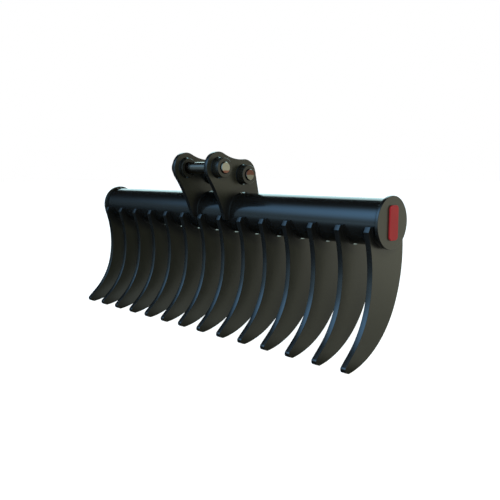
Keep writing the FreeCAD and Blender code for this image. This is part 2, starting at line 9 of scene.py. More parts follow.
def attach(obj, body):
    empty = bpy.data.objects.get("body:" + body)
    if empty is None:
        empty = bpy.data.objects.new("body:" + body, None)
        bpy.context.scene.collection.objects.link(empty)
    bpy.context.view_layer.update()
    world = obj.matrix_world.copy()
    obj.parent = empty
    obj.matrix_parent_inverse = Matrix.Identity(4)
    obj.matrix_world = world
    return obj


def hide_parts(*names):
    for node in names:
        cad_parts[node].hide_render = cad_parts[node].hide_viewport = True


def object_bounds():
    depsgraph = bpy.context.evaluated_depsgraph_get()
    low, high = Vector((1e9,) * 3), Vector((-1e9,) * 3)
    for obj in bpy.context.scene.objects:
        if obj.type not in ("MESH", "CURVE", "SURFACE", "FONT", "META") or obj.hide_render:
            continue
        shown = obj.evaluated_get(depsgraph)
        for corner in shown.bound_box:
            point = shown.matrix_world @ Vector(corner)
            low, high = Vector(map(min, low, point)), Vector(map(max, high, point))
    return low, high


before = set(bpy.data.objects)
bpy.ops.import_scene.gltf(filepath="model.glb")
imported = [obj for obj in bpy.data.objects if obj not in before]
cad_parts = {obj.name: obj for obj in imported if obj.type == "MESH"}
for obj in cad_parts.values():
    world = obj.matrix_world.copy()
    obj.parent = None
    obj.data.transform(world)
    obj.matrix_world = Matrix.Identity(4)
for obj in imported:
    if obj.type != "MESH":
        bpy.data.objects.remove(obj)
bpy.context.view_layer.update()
print("frame loaded:", len(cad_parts), "nodes")

mm = 0.001
fullTurn = 2 * math.pi
quarterTurn = math.pi / 2

# Places in the side view that pieces and finishes share: y and z, mm
tubeAxis = (134.5, -180.5)
pinPlaces = {"front": (0.0, 0.0), "rear": (132.0, -27.5)}


def inMetres(place):
    return [value * mm for value in place]


def nodesOf(*starts):
    return [name for name in sorted(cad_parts) if name.startswith(starts)]


# Camera, where the photograph was taken from
camera = {
    "place": (1.8613, -1.5851, -0.0101),  # m
    "round": 44.977,  # degrees from the front towards the right-hand end
    "above": 7.523,  # degrees it looks down
    "lens": 43.456, "sensor": 36.0,  # mm
    "clip": (0.05, 100.0),  # m
}
lens = bpy.data.cameras.new("photoCamera")
lens.lens, lens.sensor_width, lens.sensor_fit = camera["lens"], camera["sensor"], "HORIZONTAL"
lens.clip_start, lens.clip_end = camera["clip"]
eye = bpy.data.objects.new("photoCamera", lens)
eye.location = camera["place"]
eye.rotation_euler = (math.radians(90 - camera["above"]), 0, math.radians(camera["round"]))
bpy.context.scene.collection.objects.link(eye)
bpy.context.scene.camera = eye
print("camera placed")


# Shader maths
class Wire:
    # a socket that joins in sums: every operator on it adds one Math node
    def __init__(self, graph, socket):
        self.graph, self.socket = graph, socket

    def sum(self, operation, first, second):
        return self.graph.add("ShaderNodeMath", {"operation": operation}, {0: first, 1: second})

    def __add__(self, other):
        return self.sum("ADD", self, other)

    def __radd__(self, other):
        return self.sum("ADD", other, self)

    def __sub__(self, other):
        return self.sum("SUBTRACT", self, other)

    def __rsub__(self, other):
        return self.sum("SUBTRACT", other, self)

    def __mul__(self, other):
        return self.sum("MULTIPLY", self, other)

    def __rmul__(self, other):
        return self.sum("MULTIPLY", other, self)

    def __pow__(self, other):
        return self.sum("POWER", self, other)

    def __neg__(self):
        return self.sum("SUBTRACT", 0.0, self)

    def most(self, other):
        return self.sum("MAXIMUM", self, other)

    def between(self, low, high):
        # 0 below low, 1 above high, smooth in between
        settings = {"interpolation_type": "SMOOTHSTEP"}
        return self.graph.add("ShaderNodeMapRange", settings, {0: self, 1: low, 2: high, 3: 0.0, 4: 1.0})


class Graph:
    # the node tree of a material or the world
    def __init__(self, owner):
        owner.use_nodes = True
        self.tree = owner.node_tree
        self.owner = owner

    def add(self, kind, settings=None, inputs=None, out=0):
        node = self.tree.nodes.new(kind)
        for key, value in (settings or {}).items():
            setattr(node, key, value)
        for key, value in (inputs or {}).items():
            if isinstance(value, Wire):
                self.tree.links.new(value.socket, node.inputs[key])
            else:
                node.inputs[key].default_value = value
        return Wire(self, node.outputs[out])

    def coordinates(self, scale=(1, 1, 1)):
        # the object's own coordinates, stretched along each axis
        spot = self.add("ShaderNodeTexCoord", out="Object")
        return self.add("ShaderNodeMapping", None, {"Vector": spot, "Scale": scale})

    def noise(self, spot, scale, detail):
        return self.add("ShaderNodeTexNoise", None, {"Vector": spot, "Scale": scale, "Detail": detail})

    def blend(self, share, first, second, way="MIX"):
        inputs = {0: share, 6: tone(first), 7: tone(second)}
        return self.add("ShaderNodeMix", {"data_type": "RGBA", "blend_type": way}, inputs, out=2)

    def bump(self, height, depth):
        return self.add("ShaderNodeBump", None, {"Height": height, "Distance": depth})


def axes(graph, place):
    return [graph.add("ShaderNodeSeparateXYZ", None, {0: place}, out=n) for n in range(3)]


def distance(first, second):
    # the root of the sum of both squares
    return (first**2 + second**2) ** 0.5


def within(value, centre, limits):
    # 1 near the centre, 0 past the limits either way
    away = value - centre
    return 1 - away.most(-away).between(*limits)


def tone(value):
    # a colour as its socket takes it
    return value if isinstance(value, Wire) else (*value, 1)


def finish(name, fixed, changing):
    # a material: fixed values go on the shader's own sockets, and a function of the graph gives the ones that
    # change over the surface
    material = bpy.data.materials.new(name)
    graph = Graph(material)
    shader = graph.tree.nodes["Principled BSDF"]
    for socket, value in fixed.items():
        shader.inputs[socket].default_value = value
    for socket, wire in changing(graph).items():
        graph.tree.links.new(wire.socket, shader.inputs[socket])
    return material


# Black paint: a sprayed satin coat, with fine orange peel, a faint unevenness and a little dust.
blackPaint = {
    "plate": (0.0125, 0.0125, 0.0092),  # thin coat on the flat plates
    "tube": (0.0045, 0.0045, 0.0045),  # thicker, glossier coat on the tube; painted shade near it and on cut edges
    "boss": (0.0080, 0.0080, 0.0068),
    # painted shade: the weld beads in the joints are darker than the plates
    "bead": (0.0025, 0.0025, 0.0025),
    "cloudSize": 0.11,  # m, the faint unevenness of the gloss
    "cloudLimits": (0.35, 0.75), "cloudDetail": 4.0,
    "faded": 1.2,  # times the colour where the cloud is high
    "dustScale": 900.0, "dustDetail": 1.0, "dustLimits": (0.68, 0.80),
    "dusty": 1.7,  # times the colour in the specks
    "dustCover": 0.3, "dustRoughness": 0.1,
    "peelSize": 0.0022, "peelDetail": 2.0,  # m, orange peel left by the spray gun
    "peelDepth": 0.000012,  # m
    "paintedShadeReach": (0.095, 0.130),  # m from the tube's axis, where the painted shade by the tube ends
    "paintedShadeWander": 0.012,  # m
    "rimRoughness": -0.09,  # on cut edges
}
# bright bare metal on the crowns of the weld beads, placed and tinted as painted glints
bareMetalGlints = {
    "tone": (0.44, 0.54, 0.57),
    "paintedTopHighlight": (0.90, 0.95, 0.95),  # painted highlight, brighter on top of the tube
    "top": ((-0.16, -0.15), (-0.09, -0.08)),  # heights that the top lies between, m
    "tubeCrown": (0.128, (0.008, 0.013)),  # m back, and how far either way
    "pinCrowns": ((0.131, (0.002, 0.005)), (0.001, (0.003, 0.006))),
    "wander": 0.005, "wanderScale": 300.0, "wanderDetail": 2.0,  # m
    "roughness": 0.18,
}


def paintedBlack(
    name, color, roughness=0.32, specular=0.5, peel=1.0, uneven=0.06, rims=False, paintedTubeShade=False, bare=False
):
    # colour = the given one, faded where the cloud noise is high and dusty in specks; roughness = the given
    # one + (cloud - 1/2) * uneven + specks * dust; bump = peel noise * depth. The tube's darker colour comes
    # in near the tube's axis as painted shade (paintedTubeShade) and on the cut edges as painted shade (rims),
    # and bright bare metal, placed and tinted as painted glints, on the crowns (bare)
    def changing(graph):
        paint, spot = blackPaint, graph.coordinates()
        _, along, rise = axes(graph, spot)
        cloud = graph.noise(spot, 1 / paint["cloudSize"], paint["cloudDetail"])
        peelHeight = graph.noise(spot, 1 / paint["peelSize"], paint["peelDetail"])
        dust = graph.noise(spot, paint["dustScale"], paint["dustDetail"]).between(*paint["dustLimits"])
        faded, dusty = (tuple(part * paint[share] for part in color) for share in ("faded", "dusty"))
        face = graph.blend(cloud.between(*paint["cloudLimits"]), color, faded)
        rough = roughness + (cloud - 0.5) * uneven + dust * paint["dustRoughness"]
        near = 0.0
        if paintedTubeShade:
            # painted shade: near the tube's axis the plates take the tube's darker colour, where the tube shades
            # them
            back, height = inMetres(tubeAxis)
            apart = distance(along - back, rise - height) + (cloud - 0.5) * paint["paintedShadeWander"]
            near = 1 - apart.between(*paint["paintedShadeReach"])
            face = graph.blend(near, face, paint["tube"])
        if rims:  # the faces' own attribute, 1 on cut edges
            # painted shade: the cut edges take the tube's darker colour
            rim = graph.add("ShaderNodeAttribute", {"attribute_name": "rim"}, out="Fac")
            face = graph.blend(rim, face, paint["tube"])
            rough = rough + rim * (1 - near) * paint["rimRoughness"]
        face = graph.blend(dust * paint["dustCover"], face, dusty)
        sockets = {"Normal": graph.bump(peelHeight, paint["peelDepth"] * peel)}
        if bare:  # bright bare metal on the crowns of the weld beads, by how far back they are, as painted glints
            wander = graph.noise(spot, bareMetalGlints["wanderScale"], bareMetalGlints["wanderDetail"]) - 0.5
            wander = wander * bareMetalGlints["wander"]
            above, below = (rise.between(*limits) for limits in bareMetalGlints["top"])
            metal = within(along + wander, *bareMetalGlints["tubeCrown"]) * (1 - below)
            for centre, limits in bareMetalGlints["pinCrowns"]:
                metal = metal.most(within(along + wander, centre, limits))
            # painted highlight: brighter on top of the tube
            bright = graph.blend(above - below, bareMetalGlints["tone"], bareMetalGlints["paintedTopHighlight"])
            face = graph.blend(metal, face, bright)
            rough = rough * (1 - metal) + metal * bareMetalGlints["roughness"]
            sockets["Metallic"] = metal
        return {"Base Color": face, "Roughness": rough, **sockets}

    return finish(name, {"Specular IOR Level": specular}, changing)


tubePaint = paintedBlack("tubePaint", blackPaint["tube"], roughness=0.17, peel=0.3, uneven=0.02)
platePaint = paintedBlack("platePaint", blackPaint["plate"], rims=True, paintedTubeShade=True)
bossPaint = paintedBlack("bossPaint", blackPaint["boss"], roughness=0.24)
capPaint = paintedBlack("capPaint", blackPaint["plate"], rims=True)
beadPaint = paintedBlack("beadPaint", blackPaint["bead"], roughness=0.36, specular=0.15, peel=0.6, bare=True)


pinEndPatch = {
    "tone": (0.22, 0.075, 0.055),  # reddish-brown patch on the right-hand ends
    "front": (-0.0230, -0.0110), "rear": (-0.0285, -0.0075),  # heights it lies between, m
    "edge": 0.0015,  # m either way over which it ends
    "wander": 0.006, "wanderScale": 160.0, "wanderDetail": 3.0,  # m
    "end": (0.1195, 0.1205),  # m along the pin, past which it lies
    "cover": 0.85, "roughness": 0.15,
}
pinFinish = {
    "end": ((0.30, 0.30, 0.265), (0.25, 0.25, 0.22)),
    "cloudScale": 30.0, "cloudDetail": 2.0, "cloudLimits": (0.4, 0.7), "cloudCover": 0.5,
    "ringScale": (2600, 40, 40), "ringDetail": 3.0,  # along the pin, and round it
    "ringDepth": 0.000003,  # m
    "roughness": 0.12, "ringRoughness": 0.08, "cloudRoughness": 0.05,
    "rearStart": (0.06, 0.07),  # m back, past which it is the rear pin
    "rearShade": 0.4,  # painted shade: how much darker the rear pin's ends are
    "shaft": (0.21, 0.18, 0.15),  # painted shade: darker between the ears than on the ends
    "bossReflection": (0.085, 0.048, 0.032),  # painted reflection of the bosses, browner beside them
    "bossReflectionReach": (0.054, 0.058),  # m either way along the pin
    "rim": (0.012, 0.012, 0.012),  # near black on the rim outside the bosses
    "round": (0.0220, 0.0224),  # m from the pin's axis, past which it is the shaft or the rim
    "outside": (0.10, 0.11),  # m either way along the pin, past which it is the rim
}


def groundSteel(graph):
    # rings of fine scratches: noise that changes fast along the pin and slowly round it; roughness = a base
    # + rings + cloud + patch, each times its share; colour by the distance from the pin's axis, end or shaft,
    # and on the ends a reddish-brown patch between two heights. The rear pin's ends and the shaft carry
    # painted shade, and the shaft beside the bosses a painted reflection of them
    pin, patch = pinFinish, pinEndPatch
    spot = graph.coordinates()
    rings = graph.noise(graph.coordinates(pin["ringScale"]), 1.0, pin["ringDetail"])
    cloud = graph.noise(spot, pin["cloudScale"], pin["cloudDetail"])
    across, along, rise = axes(graph, spot)
    rear = along.between(*pin["rearStart"])
    back, height = inMetres(pinPlaces["rear"])
    turned = distance(along - rear * back, rise - rear * height).between(*pin["round"])
    apart = across.most(-across)
    outside = apart.between(*pin["outside"])
    low, high = (front + rear * (behind - front) for front, behind in zip(patch["front"], patch["rear"]))
    wander = graph.noise(spot, patch["wanderScale"], patch["wanderDetail"]) - 0.5
    level = rise + wander * patch["wander"]
    edge = patch["edge"]
    patchShare = (level - low).between(-edge, edge) * (high - level).between(-edge, edge)
    patchShare = patchShare * across.between(*patch["end"]) * (1 - turned)
    steel = graph.blend(cloud.between(*pin["cloudLimits"]) * pin["cloudCover"], *pin["end"])
    # painted shade: the shaft darker than the ends; beside the bosses a painted reflection of them
    shaft = graph.blend(apart.between(*pin["bossReflectionReach"]), pin["shaft"], pin["bossReflection"])
    shaft = graph.blend(outside, shaft, pin["rim"])
    face = graph.blend(patchShare * patch["cover"], steel, patch["tone"])
    # painted shade: the rear pin's ends darker than the front's
    face = graph.blend(rear * pin["rearShade"], face, (0, 0, 0))
    rough = pin["roughness"] + rings * pin["ringRoughness"]
    return {
        "Base Color": graph.blend(turned, face, shaft),
        "Roughness": rough + cloud * pin["cloudRoughness"] + patchShare * patch["roughness"],
        "Normal": graph.bump(rings, pin["ringDepth"]),
    }


boltFinish = {
    "tones": ((0.52, 0.53, 0.54), (0.66, 0.66, 0.62)),  # dark and light grains of the zinc
    "grainScale": 260.0, "grainDetail": 2.0,
    "roughness": (0.26, 0.14),  # of the dark grains, and how much more the light ones have
}


def zincPlate(graph):
    # colour and roughness both go up with one noise
    grain = graph.noise(graph.coordinates(), boltFinish["grainScale"], boltFinish["grainDetail"])
    least, more = boltFinish["roughness"]
    return {"Base Color": graph.blend(grain, *boltFinish["tones"]), "Roughness": least + grain * more}


redPaint = {
    "tones": ((0.240, 0.0125, 0.0175), (0.262, 0.0160, 0.0205)),
    "cloudScale": 14.0, "cloudDetail": 3.0, "cloudLimits": (0.35, 0.7),
    "roughness": (0.42, 0.10),  # where the cloud is low, and how much more where it is high
    "specular": 0.2,
    "peelScale": 450.0, "peelDetail": 2.0,
    "peelDepth": 0.00003,  # m
}


def paintedRed(graph):
    # colour and roughness both follow a cloud noise; bump = fine noise * depth
    spot = graph.coordinates()
    cloud = graph.noise(spot, redPaint["cloudScale"], redPaint["cloudDetail"])
    peelHeight = graph.noise(spot, redPaint["peelScale"], redPaint["peelDetail"])
    least, more = redPaint["roughness"]
    return {
        "Base Color": graph.blend(cloud.between(*redPaint["cloudLimits"]), *redPaint["tones"]),
        "Roughness": least + cloud * more,
        "Normal": graph.bump(peelHeight, redPaint["peelDepth"]),
    }


pinSteel = finish("pinSteel", {"Metallic": 1.0}, groundSteel)
boltZinc = finish("boltZinc", {"Metallic": 1.0}, zincPlate)
badgeRed = finish("badgeRed", {"Specular IOR Level": redPaint["specular"]}, paintedRed)

finishes = {
    ("boss_front_", "boss_rear_"): bossPaint,
    ("hitch_pin_",): pinSteel,
    ("pin_bolt_", "pin_nut_"): boltZinc,
}
for starts, material in finishes.items():
    for name in nodesOf(*starts):
        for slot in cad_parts[name].material_slots:
            slot.material = material
print("finishes made:", len(finishes))


# Meshes from grids
meshValues = {
    "sharpAngle": 32.0,  # degrees between faces, past which an edge is sharp
    "arcStep": 2.5,  # mm along an arc, about
    "leastSteps": 4,  # along the shortest arc
    "edgeSteps": 5,  # points across a rounded edge
    "turns": 240,  # steps round a turned piece
    "insideWithHoles": 2, "tolerance": 1e-7,  # how a flat face is cut into triangles
}


def outward(points, loops):
    # the triple products of every loop's fan of triangles add up to six times the volume, which is below zero
    # where the mesh is inside out
    first = np.array([loop[0] for loop in loops for _ in loop[2:]])
    second = np.array([index for loop in loops for index in loop[1:-1]])
    third = np.array([index for loop in loops for index in loop[2:]])
    volume = np.einsum("ij,ij->", points[first], np.cross(points[second], points[third]))
    return loops if volume > 0 else [loop[::-1] for loop in loops]


def meshPiece(name, points, loops, material, nodes, flat=0):
    # points (n, 3) in metres and in place; flat counts the loops at the list's end that are flat faces, and
    # the attribute rim is 1 on all others
    mesh = bpy.data.meshes.new(name)
    mesh.from_pydata(points.tolist(), [], loops)
    smooth = np.arange(len(loops)) < len(loops) - flat
    mesh.set_sharp_from_angle(angle=math.radians(meshValues["sharpAngle"]))
    mesh.polygons.foreach_set("use_smooth", smooth)
    mesh.attributes.new("rim", "FLOAT", "FACE").data.foreach_set("value", smooth.astype(np.float32))
    mesh.materials.append(material)
    mesh.update()
    piece = bpy.data.objects.new(name, mesh)
    bpy.context.scene.collection.objects.link(piece)
    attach(piece, "root")
    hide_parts(*nodes)


def gridLoops(rows, columns, closedRows=False, closedColumns=False):
    # quads between neighbouring rows and columns of a grid, whose point (r, c) has the number r * columns + c
    r = np.arange(rows if closedRows else rows - 1)[:, None]
    c = np.arange(columns if closedColumns else columns - 1)[None, :]
    up, right = (r + 1) % rows, (c + 1) % columns
    corners = (r * columns + c, r * columns + right, up * columns + right, up * columns + c)
    return np.stack(np.broadcast_arrays(*corners), -1).reshape(-1, 4).tolist()


def arc(centre, radius, first, last, step=meshValues["arcStep"]):
    # centre + radius * (cos a, sin a), a from first to last in steps of about that many mm, the last left out
    count = max(meshValues["leastSteps"], math.ceil(abs(last - first) * radius / step))
    a = np.linspace(first, last, count, endpoint=False)
    return np.stack([centre[0] + radius * np.cos(a), centre[1] + radius * np.sin(a)], -1)


def inset(outline, depth):
    # each corner moves in by depth from both of its edges: along n1 + n2, over 1 + n1.n2
    edge = np.roll(outline, -1, 0) - outline
    normal = np.stack([edge[:, 1], -edge[:, 0]], -1) / np.linalg.norm(edge, axis=1)[:, None]
    before = np.roll(normal, 1, 0)
    return outline - depth * (normal + before) / (1 + (normal * before).sum(1))[:, None]


def pierced(points, rings, way):
    # the flat face between an outline and its holes as triangles; rings hold the numbers of their points
    numbers = np.concatenate(rings)
    starts = np.cumsum([0] + [len(ring) for ring in rings])
    edges = [
        (int(i), int(first + (i + 1 - first) % len(ring)))
        for first, ring in zip(starts, rings) for i in range(first, first + len(ring))
    ]
    flatPoints = [Vector(points[number, 1:]) for number in numbers]
    kind, tolerance = meshValues["insideWithHoles"], meshValues["tolerance"]
    triangles = delaunay_2d_cdt(flatPoints, edges, [], kind, tolerance)[2]
    return [numbers[list(corners)[::way]].tolist() for corners in triangles]


def plateShape(outline, low, high, rounding, holes=()):
    # a plate across X: every loop of the outline is drawn at depths rounding * (1 - sin a) and places
    # low + rounding * (1 - cos a), a from 0 to a quarter turn, and the same mirrored at high
    a = np.linspace(0, quarterTurn, meshValues["edgeSteps"])
    depths, places = rounding * (1 - np.sin(a)), rounding * (1 - np.cos(a))
    depths = np.concatenate([depths, depths[::-1]])
    places = np.concatenate([low + places, (high - places)[::-1]])
    points, loops, ends = [], [], ([], [])
    for ring in (outline, *holes):
        start = sum(map(len, points))
        rows = [np.column_stack([np.full(len(ring), x), inset(ring, d)]) for x, d in zip(places, depths)]
        points.append(np.vstack(rows))
        sides = gridLoops(len(rows), len(ring), closedColumns=True)
        loops += [[i + start for i in loop] for loop in sides]
        for end, offset in zip(ends, (start, start + (len(rows) - 1) * len(ring))):
            end.append(np.arange(offset, offset + len(ring)))
    points = np.vstack(points)
    if holes:
        faces = pierced(points, ends[0], -1) + pierced(points, ends[1], 1)
    else:
        faces = [ends[0][0][::-1].tolist(), ends[1][0].tolist()]
    return points * mm, outward(points, loops + faces), len(faces)


def turnedShape(profile, capped):
    # each corner (x, r) of the profile goes round the tube's axis: (x, y + r cos a, z + r sin a)
    steps = meshValues["turns"]
    a = np.linspace(0, fullTurn, steps, endpoint=False)
    profile = np.array(profile, float)
    x, r = profile[:, 0][:, None], profile[:, 1][:, None]
    rows = [x + 0 * a[None, :], tubeAxis[0] + r * np.cos(a)[None, :], tubeAxis[1] + r * np.sin(a)[None, :]]
    points = np.stack(rows, -1).reshape(-1, 3)
    loops = gridLoops(len(profile), steps, closedRows=not capped, closedColumns=True)
    if capped:
        last = (len(profile) - 1) * steps
        loops += [list(range(steps))[::-1], list(range(last, last + steps))]
    return points * mm, outward(points, loops), 2 * capped


def cornerRound(x, r, xWay, rWay, radius):
    # a rounded corner of a profile: (x + xWay * radius * (1 - sin a), r + rWay * radius * (1 - cos a)), a from
    # 0 to a quarter turn
    a = np.linspace(0, quarterTurn, meshValues["edgeSteps"])
    return np.stack([x + xWay * radius * (1 - np.sin(a)), r + rWay * radius * (1 - np.cos(a))], -1)


# Tines
tube = {"radius": 79.5, "wall": 8.0, "half": 790.0}  # mm, half its length
tine = {  # mm and degrees
    "stations": (np.arange(14) - 6.5) * 118.0,
    "thickness": 20.0,
    "edge": 0.7,  # rounding of the painted edges
    "hornTop": 10.0, "hornCorner": 27.0, "hornRun": 9.5, "hornFront": 21.0, "hornRear": 30.0,
    "frontRadius": (420.0, 288.0), "frontUpright": 176.0, "frontAngles": (11.0, 48.0),
    "backRadius": 432.0, "backUpright": 105.0, "backAngle": 25.5,
    "tipStraight": 47.5, "tipRadius": 12.0, "tipAngle": 21.5, "tipCut": 13.0, "tipStep": 0.8,
}
clearance = 0.2  # mm round the tube and the bosses
notch = tube["radius"] + clearance


def onCircle(centre, radius, angle):
    return np.array([centre[0] + radius * math.cos(angle), centre[1] + radius * math.sin(angle)])


def heading(start, end):
    return math.atan2(end[1] - start[1], end[0] - start[0])


def tineOutline():
    # the side view round the tube's axis, as arcs and straights: notch, front horn, two hollows with one tangent
    # where they meet, straight, nose, heel, and two back rounds, the lower of which runs through the heel
    t, down = tine, -quarterTurn
    seat = math.asin(t["hornTop"] / notch)
    frontY, rearY = -tube["radius"] - t["hornFront"], tube["radius"] + t["hornRear"]
    big, small = t["frontRadius"]
    join, end = (-math.radians(angle) for angle in t["frontAngles"])
    start = math.asin((t["frontUpright"] - t["hornCorner"]) / big)
    centre = (frontY - big * math.cos(start), -t["frontUpright"])
    lowCentre = onCircle(centre, big - small, join)
    straight, cut = end + down, -math.radians(t["tipAngle"])
    noseStart = onCircle(onCircle(lowCentre, small, end), t["tipStraight"], straight)
    noseCentre = onCircle(noseStart, t["tipRadius"], straight - down)
    heel = onCircle(onCircle(noseCentre, t["tipRadius"], cut + down), t["tipCut"], cut)
    back, backJoin = t["backRadius"], -math.radians(t["backAngle"])
    backCentre = np.array([rearY - back, -t["backUpright"]])
    backStart = math.asin((t["backUpright"] - t["hornCorner"]) / back)
    apart = np.linalg.norm(heel - backCentre)
    along = apart * math.cos(heading(backCentre, heel) - backJoin)
    heelRadius = (apart**2 + back**2 - 2 * back * along) / (2 * (back - along))
    heelCentre = onCircle(backCentre, back - heelRadius, backJoin)
    hornBack = onCircle(backCentre, back, backStart)
    outline = np.vstack([
        arc((0, 0), notch, -seat, seat - math.pi),
        [onCircle((0, 0), notch, seat - math.pi), (frontY + t["hornRun"], -t["hornTop"])],
        arc(centre, big, start, join),
        arc(lowCentre, small, join, end),
        [onCircle(lowCentre, small, end)],
        arc(noseCentre, t["tipRadius"], straight + down, cut + down, t["tipStep"]),
        [onCircle(noseCentre, t["tipRadius"], cut + down)],
        arc(heelCentre, heelRadius, heading(heelCentre, heel), backJoin),
        arc(backCentre, back, backJoin, backStart),
        [hornBack, (hornBack[0] - t["hornRun"], -t["hornTop"])],
    ])
    return outline + tubeAxis


tineSide, tineHalf = tineOutline(), tine["thickness"] / 2
for number, station in enumerate(tine["stations"], start=1):
    points, loops, flat = plateShape(tineSide, station - tineHalf, station + tineHalf, tine["edge"])
    meshPiece(f"tinePlate{number:02d}", points, loops, platePaint, [f"tine_{number:02d}"], flat)
print("tines made:", len(tine["stations"]), "of", len(tineSide), "points round")


# Ears
ear = {  # mm and degrees
    "middle": 98.0, "half": 9.0, "edge": 0.8,
    "lobe": 62.0, "rearLobeBack": 9.0, "saddle": 200.0, "front": 620.0,
    "backSlope": 13.0, "footReach": 21.5, "footDrop": 24.0,
}
bossRadius = 37.5  # mm


def circlesMeet(first, firstRadius, second, secondRadius, side):
    # along the line of centres by (d^2 + R1^2 - R2^2) / 2d, and across it by the root of R1^2 - along^2
    apart = math.dist(first, second)
    along = (apart**2 + firstRadius**2 - secondRadius**2) / (2 * apart)
    way = heading(first, second)
    across = side * math.sqrt(firstRadius**2 - along**2)
    return onCircle(onCircle(first, along, way), across, way + math.pi / 2)


def footAngle():
    # how far under the axis, seen from it, the notch ends
    return math.asin(ear["footDrop"] / notch)


def earOutline():
    # the side view, as arcs and straights: hollow front, front lobe round the front pin, saddle, rear lobe,
    # sloping back, feet and notch
    e, axis = ear, tubeAxis
    rear = (pinPlaces["rear"][0] + e["rearLobeBack"], pinPlaces["rear"][1])
    lobe, saddle, hollow = e["lobe"], e["saddle"], e["front"]
    foot = axis[1] - e["footDrop"]
    toe = (axis[0] - tube["radius"] - e["footReach"], foot)
    seat, slope = footAngle(), math.radians(e["backSlope"])
    saddleCentre = circlesMeet((0, 0), lobe + saddle, rear, lobe + saddle, 1)
    hollowCentre = circlesMeet((0, 0), lobe + hollow, toe, hollow, -1)
    low, high = heading((0, 0), hollowCentre) % fullTurn, heading((0, 0), saddleCentre)
    backTop = onCircle(rear, lobe, slope)
    heel = (backTop[0] + (backTop[1] - foot) * math.tan(slope), foot)
    outline = np.vstack([
        arc(hollowCentre, hollow, heading(hollowCentre, toe), low - math.pi),
        arc((0, 0), lobe, low, high),
        arc(saddleCentre, saddle, high + math.pi, heading(saddleCentre, rear) + fullTurn),
        arc(rear, lobe, heading(rear, saddleCentre), slope),
        [backTop, heel],
        arc(axis, notch, -seat, math.pi + seat),
        [onCircle(axis, notch, math.pi + seat)],
    ])
    return outline[::-1]


bothSides = {"Left": -1, "Right": 1}
holes = [arc(place, bossRadius + clearance, fullTurn, 0.0) for place in pinPlaces.values()]
for label, sign in bothSides.items():
    low, high = sign * ear["middle"] - ear["half"], sign * ear["middle"] + ear["half"]
    points, loops, flat = plateShape(earOutline(), low, high, ear["edge"], holes)
    meshPiece(f"earPlate{label}", points, loops, platePaint, [f"ear_{label.lower()}"], flat)
print("ears made")


# Tube, end caps and the plain red plate
bore = tube["radius"] - tube["wall"]
corners = ((-1, bore), (-1, tube["radius"]), (1, tube["radius"]), (1, bore))
profile = [(end * tube["half"], r) for end, r in corners]
points, loops, flat = turnedShape(profile, False)
meshPiece("roundTube", points, loops, tubePaint, ["main_tube"], flat)

cap = {"radius": 89.0, "thickness": 12.0, "edge": 1.2}  # mm
capFace = tube["half"] + cap["thickness"]
for label, sign in bothSides.items():
    inner = cornerRound(tube["half"], cap["radius"], 1, -1, cap["edge"])[::-1]
    outer = cornerRound(capFace, cap["radius"], -1, -1, cap["edge"])
    points, loops, flat = turnedShape(np.vstack([inner, outer]) * (sign, 1), True)
    meshPiece(f"capDisc{label}", points, loops, capPaint, [f"end_cap_{label.lower()}"], flat)

redPlate = {"width": 50.0, "height": 116.0, "thickness": 6.0, "corner": 14.0, "edge": 1.4, "step": 1.5}  # mm
wide, high = redPlate["width"] / 2 - redPlate["corner"], redPlate["height"] / 2 - redPlate["corner"]
redSide = np.vstack([
    arc((tubeAxis[0] + y, tubeAxis[1] + z), redPlate["corner"], first, first + quarterTurn, redPlate["step"])
    for y, z, first in (
        (wide, -high, -quarterTurn), (wide, high, 0.0),
        (-wide, high, quarterTurn), (-wide, -high, 2 * quarterTurn),
    )
])
points, loops, flat = plateShape(redSide, capFace, capFace + redPlate["thickness"], redPlate["edge"])
meshPiece("redPlate", points, loops, badgeRed, ["end_badge"], flat)
print("tube, caps and red plate made")


# Weld beads
weld = {
    "leg": 5.0,  # mm
    "short": 0.45,  # mm that the face's own legs are shorter
    "swell": 0.25,  # mm that the legs come and go by along the bead
    "swellPoints": 24, "swellSpread": 0.5,  # where the hand speeds up or slows down, and how much
    "calm": 0.4,  # how much steadier a bead right round is
    "sink": 0.6,  # mm that the bead's back goes into what it joins
    "bulge": 0.62,  # mm
    "ripple": 3.6,  # mm from one ripple to the next
    "rippleDepth": 0.22, "rippleEnds": 0.7,  # mm, and the power by which it fades towards the legs
    "lean": 2.2,  # radians by which the middle of a ripple lags
    "perRipple": 4,  # points along each ripple
    "across": 7,  # points across the face
}


def beadSwell(a, closed, seed):
    # random widths at a few places, joined by straight lines, which fade out where a bead right round closes
    places = np.linspace(0, 1, weld["swellPoints"])
    calm = 1 - closed * weld["calm"]
    widths = np.random.default_rng(seed).normal(0, weld["swellSpread"], weld["swellPoints"]) * calm
    swell = np.interp(np.linspace(0, 1, len(a)), places, widths)
    return swell * np.sin(np.linspace(0, math.pi, len(a))) ** 0.5 if closed else swell


